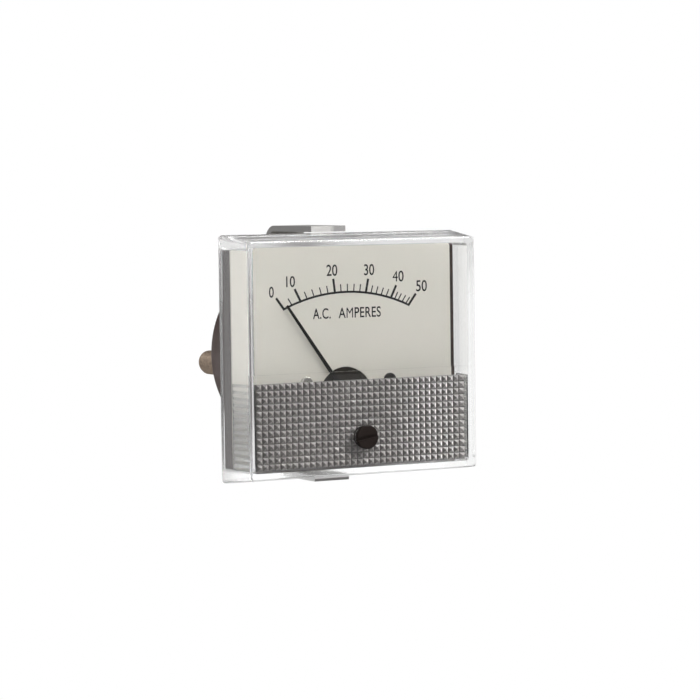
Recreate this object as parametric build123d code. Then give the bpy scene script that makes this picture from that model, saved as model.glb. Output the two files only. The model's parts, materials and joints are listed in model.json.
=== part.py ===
from build123d import *
import os
from math import cos, pi, radians, sin

os.makedirs("parts", exist_ok=True)

# A moving-iron ammeter for panel mounting, in millimetres. The panel's face is the plane Y = 0, the
# dial looks to -Y, +Z is up, and the origin is on the barrel's axis.

# Barrel behind the panel's face
barrel_radius = 25.05
barrel_wall = 2.2
barrel_floor = 3.0
barrel_edge = 1.2

# Front cover: a clear moulded box. Its side walls are drafted outside and inside, its top and bottom walls
# only outside
rim_beside_barrel = 4.55
rim_above_barrel = 1.95
side_wall = 1.65
top_wall = 1.575
side_draft = 1.45
top_draft = 1.425
cover_corner = 1.0
cover_edge = 0.5
window_corner = 0.8
front_wall = 1.5
pad_thickness = 0.5
pad_lip = 2.235
catch_length = 12.0
catch_height = 0.4
catch_depth = 1.3

# Silvered grid behind the lower front: one pyramid for each cell
cell = 1.605
rows = 13
grid_side_gap = 0.7
grid_foot = 0.5
pyramid_height = 0.55
grid_web = 0.6

# Flange in the cover, and the scale plate on it
flange_thickness = 3.0
scale_plate_thickness = 0.5
scale_plate_margin = 1.0
scale_plate_foot = 1.0
scale_cutout_margin = 0.4
scale_plate_left_gap = 0.25
scale_plate_right_gap = 1.5
scale_screw_out = 4.25
scale_screw_rise = 4.6
screw_head_radius = 1.6
screw_head_height = 0.8
screw_head_edge = 0.3
screw_thread = 0.8
screw_slot = 0.4
screw_end_wall = 0.5

# Movement, carried by a plate let into the flange
coil_below = 2.65
movement_plate_height = 14.0
movement_plate_thickness = 1.6
movement_plate_end = 2.5
movement_screw_wall = 1.15
hub_disc_radius = 7.35
hub_disc_x = -0.65
hub_disc_above_pivot = 0.7
staff_hole_radius = 2.6
staff_radius = 0.6
pivot_radius = 0.3
pivot_length = 0.9

# Coil of a few heavy turns on its bobbin
bobbin_bore = 5.0
bobbin_wall = 0.9
bobbin_lip = 0.8
bobbin_flange = 1.1
bobbin_floor = 1.8
wire_radius = 1.2
coil_turns = 3.5
coil_pitch = 2.5
coil_play = 0.95
tail_gap = 0.5

# Iron vanes
fixed_vane_thickness = 0.4
moving_vane_thickness = 0.25
vane_gap = 0.65
vane_lead = 1.5
vane_length = 5.4
vane_arm = 0.5
vane_arm_width = 1.2
vane_hub_wall = 0.6
fixed_vane_span = 95.0
moving_vane_span = 50.0

# Front bridge and the bearing screws
bridge_leg_out = 2.05
bridge_over_lever = 0.81
bridge_height = 4.0
bridge_drop = 0.6
bridge_strip = 1.0
bridge_foot = 4.6
bridge_foot_drop = 2.0
bridge_screw_out = 1.9
bridge_eye_wall = 0.9
bearing_screw_radius = 1.3
bearing_head_radius = 1.9
bearing_head = 0.55
head_to_grid = 0.4

# Pointer and its balance
pointer_rest = -35.6
scale_above_tip = 7.9
pointer_gap = 0.85
pointer_tip_width = 0.6
pointer_root_width = 1.1
pointer_thickness = 0.24
pointer_hub_radius = 1.5
pointer_hub_length = 0.9
tail_length = 3.0
arm_length = 4.9
arm_width = 0.5
weight_radius = 0.75
weight_length = 1.1
stop_angle = 54.0
stop_circle = 6.8
stop_radius = 0.4
stop_over_pointer = 0.65

# Hairspring
spring_turns = 3.25
spring_gap = 0.7
spring_inner = 1.15
spring_outer = 3.6
spring_strip = 0.12
spring_width = 0.4
spring_to_screw = 0.3
collet_radius = 0.95

# Zero adjuster and lever
adjuster_rise = 7.0
adjuster_head_radius = 2.95
adjuster_head = 1.1
adjuster_edge = 0.35
adjuster_shank_radius = 2.4
adjuster_tail = 0.4
adjuster_slot_width = 0.8
adjuster_slot_depth = 0.55
adjuster_slot_tilt = 10.0
eccentric = 1.2
eccentric_pin_radius = 0.5
lever_thickness = 0.5
lever_hub_radius = 2.7
lever_arm_width = 2.2
lever_fork_width = 3.6
fork_reach = 1.6
fork_play = 0.4
tab_thickness = 0.6
tab_width = 1.0
tab_root = 1.4
ring_thickness = 0.3
ring_radius = 2.2
clip_rim = 1.2
clip_thickness = 0.4

# Terminal studs, nuts and washers
stud_radius = 3.1
thread_depth = 0.2
stud_to_wall = 2.05
stud_above_pivot = 7.8
stud_free_length = 14.9
stud_chamfer = 0.7
stud_head_radius = 4.9
stud_head = 2.5
nut_across_flats = 11.1
nut_height = 4.2
nut_chamfer = 0.7
lock_washer_in = 0.15
lock_washer = 0.8
lug_radius = 5.0
lug_thickness = 1.2
lead_width = 4.0
lead_rise = 0.8
behind_movement = 0.95

# Mounting clamp: a strap bent into a U, and the stud in the barrel's floor that draws it forwards
clamp_strap = 9.6
clamp_thickness = 1.45
clamp_clear = 0.15
clamp_leg_front = 4.9
clamp_bend = 4.6
clamp_behind_barrel = 7.45
clamp_stud_radius = 2.4
clamp_stud_head_radius = 4.2
clamp_stud_head = 2.0
clamp_stud_spare = 3.4
clamp_stud_chamfer = 0.5
clamp_nut_across_flats = 9.5
clamp_nut_height = 3.2
clamp_nut_chamfer = 0.6
clamp_washer_radius = 4.6
clamp_washer = 1.0

# Clearances
seat_gap = 0.1
fit_gap = 0.05
drop_in_gap = 0.15
side_gap = 0.2
slot_gap = 0.15

# Cover and flange, from the barrel outwards
window_width = 2 * (barrel_radius + rim_beside_barrel)
window_height = 2 * (barrel_radius + rim_above_barrel)
front_width = window_width + 2 * side_wall
front_height = window_height + 2 * top_wall
back_width = front_width + 2 * side_draft
back_height = front_height + 2 * top_draft
window_back_width = window_width + 2 * side_draft
flange_height = window_height - 2 * drop_in_gap
cavity_radius = barrel_radius - barrel_wall

# The pivot's height, from the coil's place in the barrel
coil_axis_radius = bobbin_bore + bobbin_wall + seat_gap + wire_radius
bobbin_flange_radius = coil_axis_radius + wire_radius + bobbin_lip
pivot_z = bobbin_flange_radius + coil_below - cavity_radius

# Places in X and Z on the dial and on the movement's plate
columns = int((window_width - 2 * grid_side_gap) / cell)
grid_width = columns * cell
grid_height = rows * cell
grid_bottom = grid_foot - window_height / 2
pad_top = grid_bottom + grid_height + pad_lip
scale_plate_top = window_height / 2 - scale_plate_margin
scale_plate_bottom = scale_plate_foot - window_height / 2
scale_screw_x = hub_disc_radius + scale_screw_out
scale_screw_z = pivot_z + scale_screw_rise
movement_screw_x = cavity_radius + movement_screw_wall
movement_plate_width = 2 * (movement_screw_x + movement_plate_end)
bridge_half_span = hub_disc_radius + bridge_leg_out
bridge_screw_x = bridge_half_span + bridge_screw_out
bridge_foot_z = pivot_z - bridge_foot_drop
hub_disc_z = pivot_z + hub_disc_above_pivot
pointer_length = scale_plate_top - pivot_z - scale_above_tip
adjuster_z = grid_bottom + adjuster_rise
stud_x = cavity_radius - stud_head_radius - stud_to_wall
stud_z = pivot_z + stud_above_pivot
lead_end_z = stud_z + lead_rise - lug_thickness / 2
fixed_vane_radius = bobbin_bore - seat_gap / 2
moving_vane_radius = fixed_vane_radius - fixed_vane_thickness - vane_gap

# Planes from the panel's face forwards
flange_front = -flange_thickness
plate_back = flange_front + movement_plate_thickness
scale_front = flange_front - scale_plate_thickness
pointer_front = scale_front - pointer_gap - pointer_thickness
stop_top = pointer_front - stop_over_pointer
spring_front = pointer_front - spring_gap - spring_width
bearing_screw_end = spring_front - spring_to_screw
ring_front = bearing_screw_end - ring_thickness
lever_back = ring_front - side_gap
lever_front = lever_back - lever_thickness
bridge_front = lever_front - bridge_over_lever - bridge_strip
grid_back = bridge_front - bearing_head - head_to_grid
grid_tips = grid_back - grid_web - pyramid_height
pad_back = grid_tips - seat_gap
window_front = pad_back - pad_thickness
cover_front = window_front - front_wall
clip_front = grid_back + fit_gap
adjuster_end = clip_front + clip_thickness + adjuster_tail
eccentric_pin_end = lever_back + side_gap
clip_radius = adjuster_shank_radius + clip_rim

# The flange and the dial follow the drafted walls of the window
flange_back_width = window_back_width - 2 * drop_in_gap
flange_width = flange_back_width - 2 * side_draft * flange_front / window_front
scale_plate_left = scale_plate_left_gap - flange_width / 2
scale_plate_right = flange_width / 2 - scale_plate_right_gap

# Planes from the panel's face backwards
vane_front = plate_back + vane_lead
coil_length = coil_turns * coil_pitch
coil_start = plate_back + bobbin_flange + tail_gap + wire_radius
bobbin_end = coil_start + coil_length + wire_radius + coil_play + bobbin_flange
stud_head_front = bobbin_end + bearing_head + behind_movement
cavity_floor = stud_head_front + stud_head + lug_thickness
barrel_depth = cavity_floor + barrel_floor
first_nut = barrel_depth + lock_washer
stud_free_start = first_nut + nut_height
stud_end = stud_free_start + stud_free_length
clamp_front = barrel_depth + clamp_behind_barrel
clamp_back = clamp_front + clamp_thickness
clamp_stud_free_start = clamp_back + clamp_washer + clamp_nut_height
clamp_stud_end = clamp_stud_free_start + clamp_stud_spare

# Sizes of the clamp and of what passes through it
clamp_outer_height = back_height + 2 * (clamp_thickness + clamp_clear)
lock_washer_radius = nut_across_flats / 2 - lock_washer_in
thread_radius = stud_radius - thread_depth
clamp_thread_radius = clamp_stud_radius - thread_depth


def slab(sketch, front, back):
    """The sketch, drawn in X and Z, as a solid from Y = front to Y = back."""
    plane = Plane(origin=(0, back, 0), x_dir=(1, 0, 0), z_dir=(0, -1, 0))
    return extrude(plane * sketch, amount=back - front)


def rod(x, z, radius, front, back):
    """A cylinder along Y."""
    return slab(Pos(x, z) * Circle(radius), front, back)


def block(width, height, front, back, x=0.0, z=0.0):
    """A box centred on x and z."""
    return slab(Pos(x, z) * Rectangle(width, height), front, back)


def about_pivot(shape, angle):
    """The shape turned about the pointer's axis, clockwise as seen from the front."""
    axis = Axis((0, 0, pivot_z), (0, 1, 0))
    return shape.rotate(axis, angle)


def slotted(head, x, z, front, radius, width=screw_slot, depth=screw_slot, tilt=0.0):
    """A screw head with a driver slot cut in its front face."""
    cutter = slab(Pos(x, z) * Rot(0, 0, tilt) * Rectangle(2.4 * radius, width), front - depth, front + depth)
    return head - cutter


def drafted(front_sketch, front, back_sketch, back):
    """A solid whose outline changes evenly from the sketch at Y = front to the one at Y = back."""
    planes = [Plane(origin=(0, y, 0), x_dir=(1, 0, 0), z_dir=(0, -1, 0)) for y in (front, back)]
    return loft([planes[1] * back_sketch, planes[0] * front_sketch])


def make_front_cover():
    front_outline = RectangleRounded(front_width, front_height, cover_corner)
    outer = drafted(front_outline, cover_front, RectangleRounded(back_width, back_height, cover_corner), 0)
    outer = fillet(outer.faces().sort_by(Axis.Y)[0].edges(), cover_edge)
    front_window = RectangleRounded(window_width, window_height, window_corner)
    back_window = RectangleRounded(window_back_width, window_height, window_corner)
    window = drafted(front_window, window_front, back_window, 0)
    pad_height = pad_top + window_height / 2
    pad = block(back_width, pad_height, window_front, pad_back, z=pad_top - pad_height / 2)
    cover = outer - (window - pad)
    for side in (1, -1):
        cover += make_catch(side, 0.0)
    return cover - rod(0, adjuster_z, adjuster_shank_radius + fit_gap, cover_front, pad_back)


def make_catch(side, grow):
    """A ridge inside the cover's top or bottom wall that snaps into the flange, grown for its groove."""
    wall_z = side * window_height / 2
    tip_z = side * (window_height / 2 - catch_height - grow)
    half = catch_height + grow
    middle = -catch_depth
    outline = Polyline((middle - half, wall_z), (middle, tip_z), (middle + half, wall_z), close=True)
    face = Plane(origin=(-catch_length / 2 - grow, 0, 0), x_dir=(0, 1, 0), z_dir=(1, 0, 0)) * make_face(outline)
    return extrude(face, amount=catch_length + 2 * grow)


def sawtooth(count, length, height):
    """One long prism with a sawtooth front, its teeth along X, centred on the origin."""
    half = count * cell / 2
    points = [(-half, height + grid_web)]
    for i in range(count):
        points.append((-half + i * cell, height))
        points.append((-half + (i + 0.5) * cell, 0))
    points.append((half, height))
    points.append((half, height + grid_web))
    face = make_face(Polyline(*points, close=True))
    return extrude(face, amount=length / 2, both=True)


def make_grid_panel():
    """Pyramids, as the common part of two sawtooth prisms that cross at a right angle."""
    along_x = sawtooth(columns, grid_height, pyramid_height)
    along_z = sawtooth(rows, grid_width, pyramid_height)
    along_z = Rot(0, -90, 0) * along_z
    grid = (along_x & along_z).moved(Location((0, grid_tips, grid_bottom + grid_height / 2)))
    return grid - rod(0, adjuster_z, adjuster_shank_radius + side_gap, grid_tips, grid_back)


def make_base():
    front_outline = RectangleRounded(flange_width, flange_height, window_corner)
    back_outline = RectangleRounded(flange_back_width, flange_height, window_corner)
    base = drafted(front_outline, flange_front, back_outline, 0)
    barrel = rod(0, 0, barrel_radius, 0, barrel_depth)
    barrel = fillet(barrel.faces().sort_by(Axis.Y)[-1].edges(), barrel_edge)
    base += barrel
    base -= rod(0, 0, cavity_radius, flange_front, cavity_floor)
    seat_width = movement_plate_width + 2 * drop_in_gap
    seat_height = movement_plate_height + 2 * drop_in_gap
    base -= block(seat_width, seat_height, flange_front, plate_back, z=pivot_z)
    for side in (1, -1):
        base -= rod(side * movement_screw_x, pivot_z, screw_thread, plate_back, side_gap - screw_end_wall)
        base -= rod(side * stud_x, stud_z, stud_radius + fit_gap, cavity_floor, barrel_depth)
        base -= make_catch(side, seat_gap)
    return base - rod(0, 0, clamp_stud_radius + fit_gap, cavity_floor, barrel_depth)


def make_scale_plate():
    width = scale_plate_right - scale_plate_left
    height = scale_plate_top - scale_plate_bottom
    middle = Pos(scale_plate_left + width / 2, scale_plate_bottom + height / 2)
    outline = middle * RectangleRounded(width, height, window_corner)
    outline -= Pos(hub_disc_x, hub_disc_z) * Circle(hub_disc_radius + drop_in_gap)
    # The bridge's legs and feet stand in a cut-out that the grid hides
    cutout_width = 2 * (bridge_half_span - bridge_strip + bridge_foot + scale_cutout_margin)
    cutout_top = pivot_z - bridge_drop + bridge_height / 2 + scale_cutout_margin
    cutout_bottom = bridge_foot_z - bridge_height / 2 - scale_cutout_margin
    cutout_height = cutout_top - cutout_bottom
    outline -= Pos(0, cutout_bottom + cutout_height / 2) * Rectangle(cutout_width, cutout_height)
    for side in (1, -1):
        outline -= Pos(side * scale_screw_x, scale_screw_z) * Circle(screw_thread + drop_in_gap)
        outline -= Pos(side * movement_screw_x, pivot_z) * Circle(screw_head_radius + drop_in_gap)
    return slab(outline, scale_front, flange_front)


def make_screw(side, x, z, head_back, thread_end):
    """A small slotted screw, its head's underside at head_back."""
    head_front = head_back - screw_head_height
    head = rod(side * x, z, screw_head_radius, head_front, head_back)
    head = fillet(head.faces().sort_by(Axis.Y)[0].edges(), screw_head_edge)
    head = slotted(head, side * x, z, head_front, screw_head_radius)
    return head + rod(side * x, z, screw_thread, head_back, thread_end)


def make_pair(maker, *sizes):
    """The same piece on the left and on the right, as two separate solids."""
    return Compound(children=[maker(-1, *sizes), maker(1, *sizes)])


def make_movement_plate():
    plate = block(movement_plate_width, movement_plate_height, flange_front, plate_back, z=pivot_z)
    plate += rod(hub_disc_x, hub_disc_z, hub_disc_radius, scale_front, flange_front)
    plate -= rod(0, pivot_z, staff_hole_radius, scale_front, plate_back)
    for side in (1, -1):
        plate -= rod(side * movement_screw_x, pivot_z, screw_thread + fit_gap, flange_front, plate_back)
        plate -= rod(side * scale_screw_x, scale_screw_z, screw_thread, flange_front, plate_back)
        plate -= rod(side * bridge_screw_x, bridge_foot_z, screw_thread, flange_front, plate_back)
    return plate


def make_bobbin():
    """A spool with a closed rear end that holds the rear bearing screw."""
    bore_wall = bobbin_bore + bobbin_wall
    spool = rod(0, pivot_z, bore_wall, plate_back, bobbin_end)
    spool += rod(0, pivot_z, bobbin_flange_radius, plate_back, plate_back + bobbin_flange)
    spool += rod(0, pivot_z, bobbin_flange_radius, bobbin_end - bobbin_flange, bobbin_end)
    spool -= rod(0, pivot_z, bobbin_bore, plate_back, bobbin_end - bobbin_floor)
    spool -= rod(0, pivot_z, bearing_screw_radius, bobbin_end - bobbin_floor, bobbin_end)
    return spool


def make_coil():
    """Half a turn more than whole turns, so that its two ends leave on opposite sides and go up."""
    helix = Helix(pitch=coil_pitch, height=coil_length, radius=coil_axis_radius)
    wire = sweep(Plane(helix @ 0, z_dir=helix % 0) * Circle(wire_radius), path=helix, is_frenet=True)
    rise = lead_end_z - pivot_z
    for at, way in ((0, -1), (1, 1)):
        point = helix @ at
        direction = (helix % at) * way
        tail = extrude(Plane(point, z_dir=direction) * Circle(wire_radius), amount=rise / abs(direction.Y))
        wire += tail
    # The helix stands on Z: lay it along +Y with its ends at the sides and its tails upwards
    laid = Rot(-90, 0, 0) * Rot(0, 180, 0) * wire
    laid = laid.moved(Location((0, coil_start + coil_length, pivot_z)))
    # Both tails are cut off level, under the leads' tongues
    over = 4 * wire_radius
    return laid - block(4 * coil_axis_radius, over, flange_front, cavity_floor, z=lead_end_z + over / 2)


def make_lead(side):
    """A copper link: a ring under the stud's head, a strip towards the middle and a tongue forwards."""
    back = cavity_floor
    front = back - lug_thickness
    link = rod(side * stud_x, stud_z, lug_radius, front, back)
    reach = stud_x - coil_axis_radius + lead_width / 2
    strip_x = side * (coil_axis_radius - lead_width / 2 + reach / 2)
    link += block(reach, lead_width, front, back, x=strip_x, z=stud_z)
    wire_end = coil_start if side > 0 else coil_start + coil_length
    tongue_x = side * coil_axis_radius
    link += block(lead_width, lug_thickness, wire_end - wire_radius, back, x=tongue_x, z=stud_z + lead_rise)
    return link - rod(side * stud_x, stud_z, stud_radius + fit_gap, front, back)


def curved_vane(radius, thickness, span, middle, front, back):
    """A strip of a tube about the pointer's axis, its middle at an angle from straight up."""
    ring = rod(0, pivot_z, radius, front, back) - rod(0, pivot_z, radius - thickness, front, back)
    reach = 3 * radius
    half = radians(span / 2)
    left = (-reach * sin(half), reach * cos(half))
    right = (reach * sin(half), reach * cos(half))
    wedge = Pos(0, pivot_z) * make_face(Polyline((0, 0), left, right, close=True))
    return about_pivot(ring & slab(wedge, front, back), middle)


def make_fixed_vane():
    middle = pointer_rest + 180
    back = vane_front + vane_length
    return curved_vane(fixed_vane_radius, fixed_vane_thickness, fixed_vane_span, middle, vane_front, back)


def make_moving_vane():
    """The vane and the two arms that carry it on the staff."""
    middle = pointer_rest + 180
    back = vane_front + vane_length
    vane = curved_vane(moving_vane_radius, moving_vane_thickness, moving_vane_span, middle, vane_front, back)
    reach = moving_vane_radius - moving_vane_thickness / 2
    for front in (vane_front, back - vane_arm):
        arm = block(vane_arm_width, reach, front, front + vane_arm, z=pivot_z + reach / 2)
        arm += rod(0, pivot_z, staff_radius + vane_hub_wall, front, front + vane_arm)
        vane += about_pivot(arm, middle)
    return vane - rod(0, pivot_z, staff_radius, vane_front, back)


def make_front_bridge():
    """A strip bent into a bridge over the pointer's hub, with a foot turned out on each side."""
    middle = pivot_z - bridge_drop
    bar = block(2 * bridge_half_span, bridge_height, bridge_front, bridge_front + bridge_strip, z=middle)
    for side in (1, -1):
        leg_x = side * (bridge_half_span - bridge_strip / 2)
        bar += block(bridge_strip, bridge_height, bridge_front, flange_front, x=leg_x, z=middle)
    for side in (1, -1):
        foot_x = side * (bridge_half_span - bridge_strip + bridge_foot / 2)
        foot_front = flange_front - bridge_strip
        bar += block(bridge_foot, bridge_height, foot_front, flange_front, x=foot_x, z=bridge_foot_z)
        bar -= rod(side * bridge_screw_x, bridge_foot_z, screw_thread + fit_gap, foot_front, flange_front)
    bar += rod(0, pivot_z, bearing_head_radius + bridge_eye_wall, bridge_front, bridge_front + bridge_strip)
    return bar - rod(0, pivot_z, bearing_screw_radius, bridge_front, bridge_front + bridge_strip)


def make_front_bearing_screw():
    """A slotted screw, its end drilled as the cup that the staff's front pivot turns in."""
    head_front = bridge_front - bearing_head
    screw = rod(0, pivot_z, bearing_head_radius, head_front, bridge_front)
    screw = slotted(screw, 0, pivot_z, head_front, bearing_head_radius, depth=bearing_head / 2)
    screw += rod(0, pivot_z, bearing_screw_radius, bridge_front, bearing_screw_end)
    return screw - rod(0, pivot_z, pivot_radius + fit_gap, bearing_screw_end - pivot_length, bearing_screw_end)


def make_rear_bearing_screw():
    front = bobbin_end - bobbin_floor
    screw = rod(0, pivot_z, bearing_screw_radius, front, bobbin_end)
    screw += rod(0, pivot_z, bearing_head_radius, bobbin_end, bobbin_end + bearing_head)
    slot_floor = bobbin_end + bearing_head / 2
    cutter = block(3 * bearing_head_radius, screw_slot, slot_floor, bobbin_end + bearing_head, z=pivot_z)
    return screw - cutter - rod(0, pivot_z, pivot_radius + fit_gap, front, front + pivot_length)


def make_staff():
    """The shaft that carries pointer, spring and vane, with a fine pivot at each end."""
    shoulder_front = bearing_screw_end + seat_gap
    shoulder_back = bobbin_end - bobbin_floor - seat_gap
    staff = rod(0, pivot_z, staff_radius, shoulder_front, shoulder_back)
    staff += rod(0, pivot_z, pivot_radius, shoulder_front - pivot_length, shoulder_front)
    return staff + rod(0, pivot_z, pivot_radius, shoulder_back, shoulder_back + pivot_length)


def make_pointer():
    """Blade, tail and two side arms in one stamping, with a hub pressed on the staff."""
    tip = pointer_tip_width / 2
    root = pointer_root_width / 2
    blade = make_face(
        Polyline((-tip, pointer_length), (tip, pointer_length), (root, 0), (-root, 0), close=True)
    )
    arms = Pos(0, -tail_length / 2) * Rectangle(arm_width, tail_length)
    arms += Rectangle(2 * arm_length, arm_width)
    flat = slab(Pos(0, pivot_z) * (blade + arms), pointer_front, pointer_front + pointer_thickness)
    flat += rod(0, pivot_z, pointer_hub_radius, pointer_front, pointer_front + pointer_hub_length)
    flat -= rod(0, pivot_z, staff_radius, pointer_front, pointer_front + pointer_hub_length)
    return about_pivot(flat, pointer_rest)


def make_balance_weights():
    """Three small wound weights, on the tail and on the side arms."""
    middle = pointer_front + pointer_thickness / 2
    weights = []
    for angle, reach in ((180, tail_length), (90, arm_length), (-90, arm_length)):
        at = Pos(0, middle, reach - weight_length / 2)
        weight = at * Cylinder(weight_radius, weight_length) - at * Box(arm_width, pointer_thickness, weight_length)
        weight = weight.moved(Location((0, 0, pivot_z)))
        weights.append(about_pivot(weight, angle + pointer_rest))
    return Compound(children=weights)


def make_pointer_stop(side):
    angle = radians(stop_angle)
    x = side * stop_circle * sin(angle)
    z = pivot_z + stop_circle * cos(angle)
    return rod(x, z, stop_radius, stop_top, scale_front)


def make_collet():
    front = spring_front - seat_gap
    back = spring_front + spring_width + seat_gap
    return rod(0, pivot_z, collet_radius, front, back) - rod(0, pivot_z, staff_radius, front, back)


def make_hairspring():
    """A flat spiral from the collet out to the lever's tab."""
    steps = int(spring_turns * 12)
    inner = []
    outer = []
    for i in range(steps + 1):
        share = i / steps
        angle = 2 * pi * spring_turns * share
        radius = spring_inner + (spring_outer - spring_inner) * share
        half = spring_strip / 2
        inner.append(((radius - half) * sin(angle), (radius - half) * cos(angle)))
        outer.append(((radius + half) * sin(angle), (radius + half) * cos(angle)))
    edges = Spline(*inner) + Line(inner[-1], outer[-1]) + Spline(*reversed(outer)) + Line(outer[0], inner[0])
    strip = slab(Pos(0, pivot_z) * make_face(edges), spring_front, spring_front + spring_width)
    root = block(spring_strip * 2, spring_inner - collet_radius, spring_front, spring_front + spring_width,
                 z=pivot_z + (spring_inner + collet_radius) / 2)
    return strip + root


def make_zero_lever():
    """A ring about the bearing screw, a fork below it and a tab that holds the spring's outer end."""
    pin_z = adjuster_z + eccentric
    fork_bottom = pin_z - fork_reach
    lever = rod(0, pivot_z, lever_hub_radius, lever_front, lever_back)
    arm = pivot_z - fork_bottom
    lever += block(lever_arm_width, arm, lever_front, lever_back, z=pivot_z - arm / 2)
    lever += block(lever_fork_width, 2 * fork_reach, lever_front, lever_back, z=pin_z)
    slot_width = 2 * (eccentric_pin_radius + slot_gap)
    slot_height = pin_z + eccentric_pin_radius + fork_play - fork_bottom
    lever -= block(slot_width, slot_height, lever_front, lever_back, z=fork_bottom + slot_height / 2)
    # The spring ends three and a quarter turns round, on the right of the pivot
    tab_inner = spring_outer + spring_strip / 2 + seat_gap
    tab_outer = tab_inner + tab_thickness
    lever += block(tab_outer, tab_root, lever_front, lever_back, x=tab_outer / 2, z=pivot_z)
    tab_end = spring_front + spring_width / 2
    lever += block(tab_thickness, tab_width, lever_front, tab_end, x=(tab_inner + tab_outer) / 2, z=pivot_z)
    return lever - rod(0, pivot_z, bearing_screw_radius + fit_gap, lever_front, lever_back)


def make_lever_ring():
    ring = rod(0, pivot_z, ring_radius, ring_front, bearing_screw_end)
    return ring - rod(0, pivot_z, bearing_screw_radius, ring_front, bearing_screw_end)


def make_zero_adjuster():
    """A slotted knob through the cover, with an eccentric pin behind that works the lever's fork."""
    head_front = cover_front - adjuster_head
    head = rod(0, adjuster_z, adjuster_head_radius, head_front, cover_front - fit_gap)
    head = fillet(head.faces().sort_by(Axis.Y)[0].edges(), adjuster_edge)
    slot = (adjuster_slot_width, adjuster_slot_depth, adjuster_slot_tilt)
    head = slotted(head, 0, adjuster_z, head_front, adjuster_head_radius, *slot)
    knob = head + rod(0, adjuster_z, adjuster_shank_radius, cover_front - fit_gap, adjuster_end)
    return knob + rod(0, adjuster_z + eccentric, eccentric_pin_radius, adjuster_end, eccentric_pin_end)


def make_adjuster_clip():
    back = clip_front + clip_thickness
    clip = rod(0, adjuster_z, clip_radius, clip_front, back)
    return clip - rod(0, adjuster_z, adjuster_shank_radius, clip_front, back)


def make_stud(side):
    """A brass stud through the barrel's floor, its head inside on the lead's ring. Its thread is plain: at the
    mean diameter as far as the nut, and at the outer diameter where it stands free."""
    x = side * stud_x
    free = rod(x, stud_z, stud_radius, stud_free_start, stud_end)
    free = chamfer(free.faces().sort_by(Axis.Y)[-1].edges(), stud_chamfer)
    head_back = stud_head_front + stud_head
    shank = rod(x, stud_z, thread_radius, head_back, stud_free_start)
    return rod(x, stud_z, stud_head_radius, stud_head_front, head_back) + shank + free


def make_clamp_stud():
    """A steel stud on the barrel's axis, its head inside on the barrel's floor, drawn as the brass ones are."""
    free = rod(0, 0, clamp_stud_radius, clamp_stud_free_start, clamp_stud_end)
    free = chamfer(free.faces().sort_by(Axis.Y)[-1].edges(), clamp_stud_chamfer)
    head = rod(0, 0, clamp_stud_head_radius, cavity_floor - clamp_stud_head, cavity_floor)
    return head + rod(0, 0, clamp_thread_radius, cavity_floor, clamp_stud_free_start) + free


def washer_at(x, z, radius, bore, front, thickness):
    return rod(x, z, radius, front, front + thickness) - rod(x, z, bore, front, front + thickness)


def nut_at(x, z, across_flats, edge, bore, front, height):
    """A hexagon nut with its corners turned off."""
    corner_radius = across_flats / 3**0.5
    hexagon = Pos(x, z) * RegularPolygon(corner_radius, 6, rotation=30)
    cone = rod(x, z, corner_radius, front, front + height)
    cone = chamfer(cone.edges().filter_by(GeomType.CIRCLE), edge)
    return (slab(hexagon, front, front + height) & cone) - rod(x, z, bore, front, front + height)


def make_lock_washer(side):
    return washer_at(side * stud_x, stud_z, lock_washer_radius, stud_radius + fit_gap, barrel_depth, lock_washer)


def make_stud_nut(side):
    return nut_at(side * stud_x, stud_z, nut_across_flats, nut_chamfer, thread_radius, first_nut, nut_height)


def make_clamp_washers():
    """One behind the barrel's floor and one behind the clamp."""
    size = (clamp_washer_radius, clamp_stud_radius + fit_gap)
    planes = (barrel_depth, clamp_back)
    return Compound(children=[washer_at(0, 0, *size, front, clamp_washer) for front in planes])


def make_clamp_nuts():
    size = (clamp_nut_across_flats, clamp_nut_chamfer, clamp_thread_radius)
    planes = (barrel_depth + clamp_washer, clamp_back + clamp_washer)
    return Compound(children=[nut_at(0, 0, *size, front, clamp_nut_height) for front in planes])


def make_mounting_clamp():
    """The strap's U as one bent path, with a hole for its stud."""
    top = (clamp_outer_height - clamp_thickness) / 2
    back = (clamp_front + clamp_back) / 2
    corners = [(clamp_leg_front, top), (back, top), (back, -top), (clamp_leg_front, -top)]
    band = trace(FilletPolyline(*corners, radius=clamp_bend), line_width=clamp_thickness)
    plane = Plane(origin=(0, 0, 0), x_dir=(0, 1, 0), z_dir=(1, 0, 0))
    strap = extrude(plane * band, amount=clamp_strap / 2, both=True)
    return strap - rod(0, 0, clamp_stud_radius + side_gap, clamp_front, clamp_back)


def save(shape, name):
    export_step(shape, f"parts/{name}.step")


scale_screws = (scale_screw_x, scale_screw_z, scale_front, plate_back)
movement_screws = (movement_screw_x, pivot_z, flange_front, -screw_end_wall)
bridge_screws = (bridge_screw_x, bridge_foot_z, flange_front - bridge_strip, plate_back)

save(make_front_cover(), "front_cover")
save(make_grid_panel(), "grid_panel")
save(make_base(), "base")
save(make_scale_plate(), "scale_plate")
save(make_pair(make_screw, *scale_screws), "scale_plate_screws")
save(make_movement_plate(), "movement_plate")
save(make_pair(make_screw, *movement_screws), "movement_plate_screws")
save(make_bobbin(), "coil_bobbin")
save(make_coil(), "coil")
save(make_lead(-1), "coil_lead_left")
save(make_lead(1), "coil_lead_right")
save(make_fixed_vane(), "fixed_vane")
save(make_moving_vane(), "moving_vane")
save(make_front_bridge(), "front_bridge")
save(make_pair(make_screw, *bridge_screws), "bridge_screws")
save(make_front_bearing_screw(), "front_bearing_screw")
save(make_rear_bearing_screw(), "rear_bearing_screw")
save(make_staff(), "pivot_staff")
save(make_pointer(), "pointer")
save(make_balance_weights(), "balance_weights")
save(make_pair(make_pointer_stop), "pointer_stops")
save(make_collet(), "hairspring_collet")
save(make_hairspring(), "hairspring")
save(make_zero_lever(), "zero_lever")
save(make_lever_ring(), "zero_lever_ring")
save(make_zero_adjuster(), "zero_adjuster")
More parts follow.
